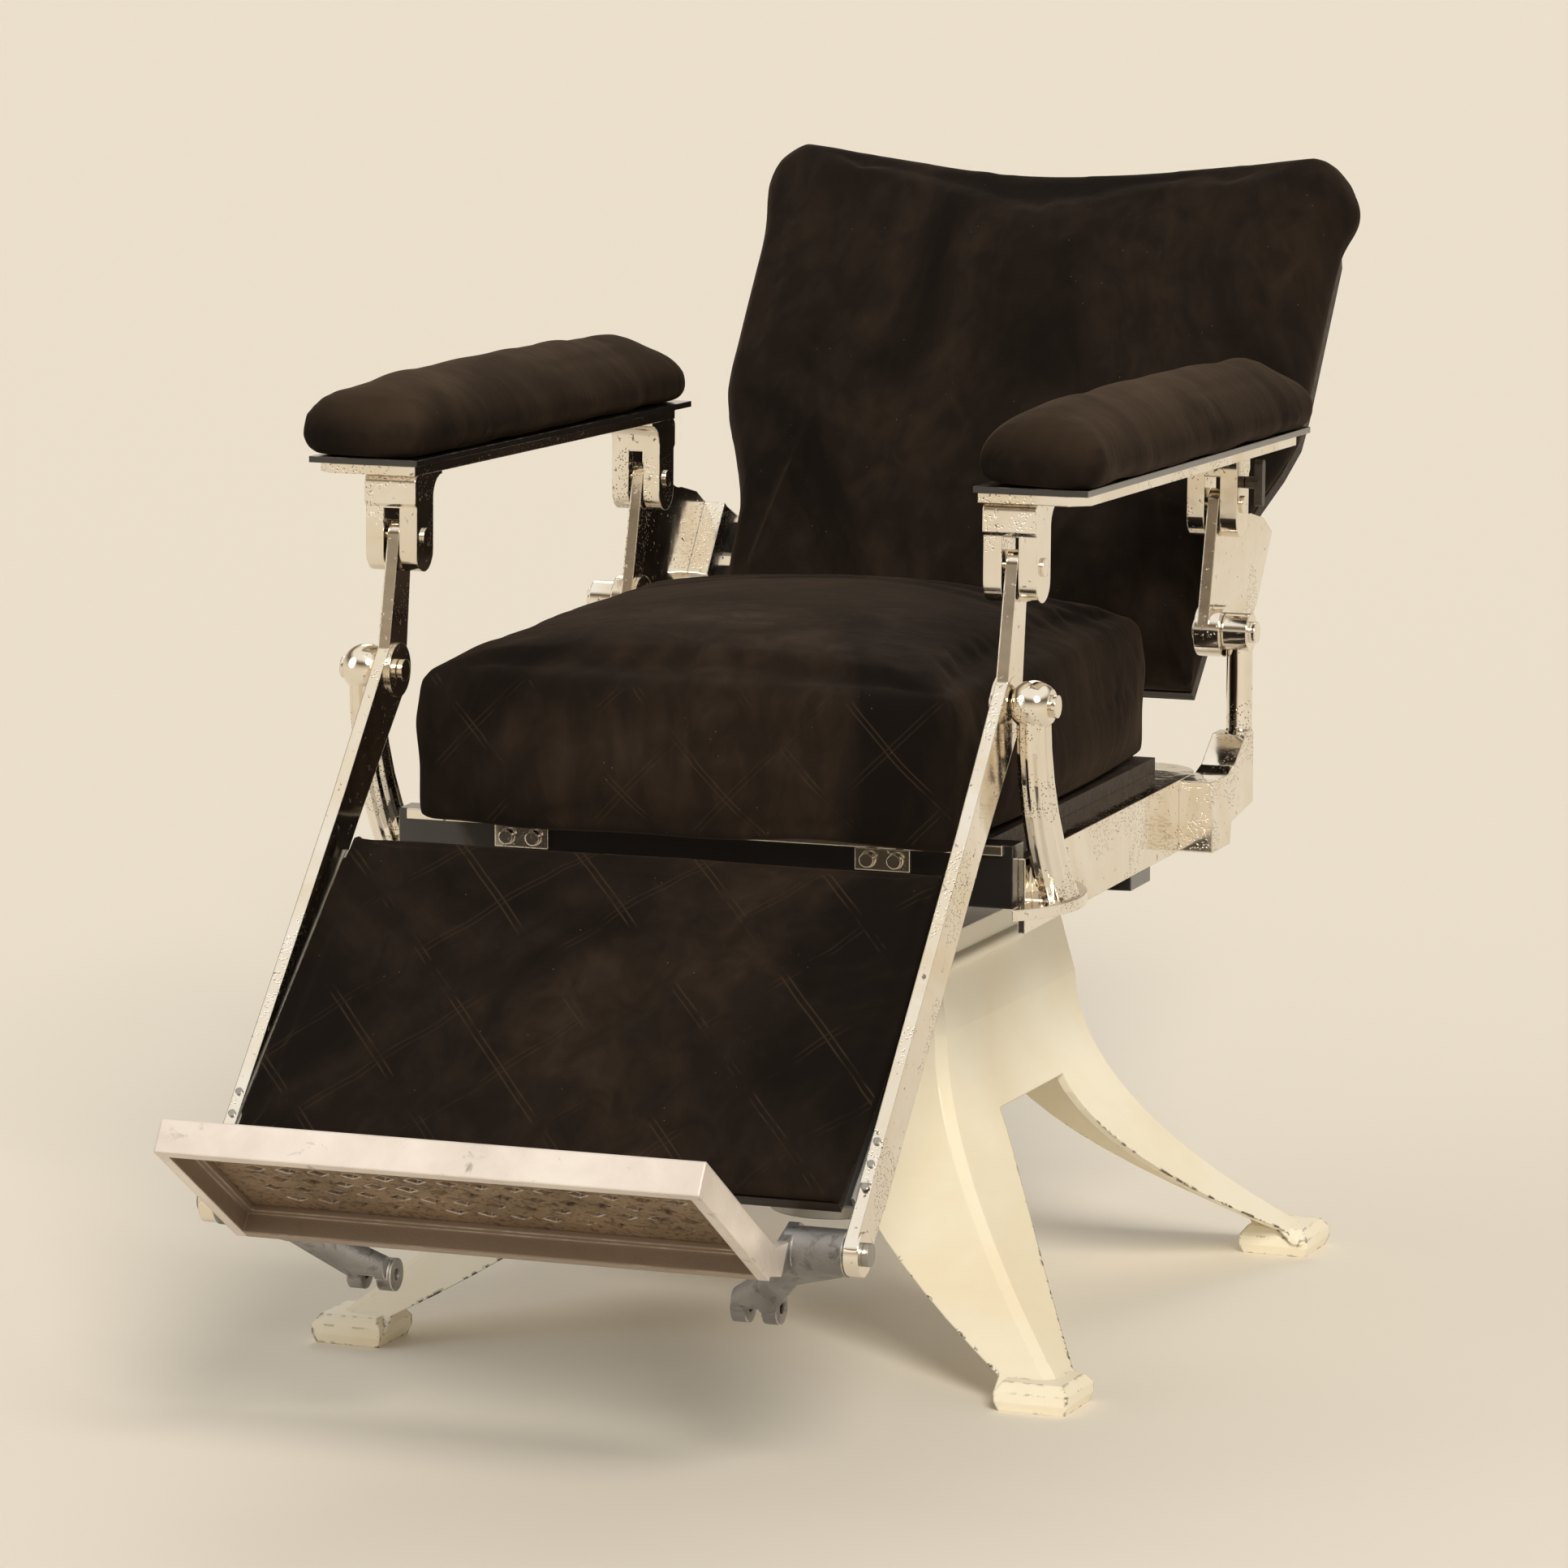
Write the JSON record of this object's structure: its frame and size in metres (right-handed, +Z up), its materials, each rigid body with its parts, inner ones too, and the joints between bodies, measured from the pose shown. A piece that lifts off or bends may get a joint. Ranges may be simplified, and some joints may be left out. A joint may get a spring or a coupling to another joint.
{
  "type": "barber chair",
  "caption": "Reclining barber chair on a splayed cast base: padded seat, back, armrests and legrest linked to tilt together, flip-up footrest, lifting and turning ram.",
  "frame": {"origin": "on the floor, under the middle of the ram", "axes": "+Z up, the chair faces -Y, +X to the sitter's left, so it is on the viewer's right in the picture"},
  "size_m": [0.6838, 1.5189, 0.9211],
  "materials": {
    "base_enamel": "satin",
    "bright_steel": "polished",
    "plain_steel": "satin",
    "bronze": "satin",
    "seal_rubber": "matte",
    "black_enamel": "gloss",
    "plating": "polished",
    "dark_steel": "satin",
    "board_wood": "matte",
    "velvet": "matte",
    "cast_alloy": "satin"
  },
  "bodies": {
    "base": {"base_casting": "base_enamel", "pump_cylinder": "plain_steel", "flange_bolts": "plain_steel", "gland_bush": "bronze"},
    "ram": {"ram": "bright_steel", "piston_seal": "seal_rubber", "thrust_washer": "bronze"},
    "seat_frame": {"saddle": "black_enamel", "side_rail_left": "plating", "side_rail_right": "plating", "rear_cross_rail": "plating", "front_cross_member": "black_enamel", "front_trim_strip": "plating", "seat_clips": "plating", "front_post_left": "plating", "front_post_right": "plating", "rear_post_left": "plating", "rear_post_right": "plating", "frame_bolts": "plain_steel", "front_pivot_bolts": "plating", "rear_pivot_bolts": "plating", "seat_board": "board_wood", "seat_cushion": "velvet"},
    "back": {"back_arm_left": "plating", "back_arm_right": "plating", "back_straps": "plain_steel", "back_board": "board_wood", "back_cushion": "velvet"},
    "armrest_left": {"arm_plate_left": "plating", "arm_board_left": "black_enamel", "arm_pad_left": "velvet", "arm_front_clevis_left": "plating", "arm_rear_clevis_left": "plating", "arm_pins_left": "plating"},
    "armrest_right": {"arm_plate_right": "plating", "arm_board_right": "black_enamel", "arm_pad_right": "velvet", "arm_front_clevis_right": "plating", "arm_rear_clevis_right": "plating", "arm_pins_right": "plating"},
    "thumb_screw": {"thumb_screw": "dark_steel"},
    "legrest": {"legrest_lever_left": "plating", "legrest_lever_right": "plating", "legrest_angles": "plain_steel", "legrest_board": "board_wood", "legrest_pad": "velvet", "legrest_screws": "plain_steel", "footrest_bolts": "plain_steel"},
    "footrest": {"footplate": "cast_alloy", "foot_bracket_left": "cast_alloy", "foot_bracket_right": "cast_alloy", "tread_panel": "cast_alloy"}
  },
  "joints": [
    {"name": "lift", "type": "slide", "parent": "base", "child": "ram", "axis": [0, 0, 1], "range_m": [0, 0.15]},
    {"name": "swivel", "type": "hinge", "parent": "ram", "child": "seat_frame", "pos_m": [0, 0, 0.36], "axis": [0, 0, 1], "continuous": true},
    {"name": "recline", "type": "hinge", "parent": "seat_frame", "child": "back", "pos_m": [0, 0.207, 0.551], "axis": [-1, 0, 0], "range_deg": [-22, 28]},
    {"name": "legrest_swing", "type": "hinge", "parent": "seat_frame", "child": "legrest", "pos_m": [0, -0.327, 0.565], "axis": [-1, 0, 0], "range_deg": [-22.5, 28.5]},
    {"name": "armrest_left_tilt", "type": "hinge", "parent": "back", "child": "armrest_left", "pos_m": [-0.262, 0.227, 0.657], "axis": [-1, 0, 0], "range_deg": [-28.5, 22.5]},
    {"name": "armrest_right_tilt", "type": "hinge", "parent": "back", "child": "armrest_right", "pos_m": [0.262, 0.227, 0.657], "axis": [-1, 0, 0], "range_deg": [-28.5, 22.5]},
    {"name": "thumb_screw_turn", "type": "hinge", "parent": "armrest_right", "child": "thumb_screw", "pos_m": [0.284, 0.23647, 0.67476], "axis": [1, 0, 0], "range_deg": [-180, 180]},
    {"name": "footrest_flip", "type": "hinge", "parent": "legrest", "child": "footrest", "pos_m": [0, -0.67388, 0.20074], "axis": [-1, 0, 0], "range_deg": [-10, 60]}
  ],
  "couplings": [
    {"joint": "legrest_swing", "follows": "recline", "ratio": 1},
    {"joint": "armrest_left_tilt", "follows": "recline", "ratio": -1},
    {"joint": "armrest_right_tilt", "follows": "recline", "ratio": -1}
  ]
}
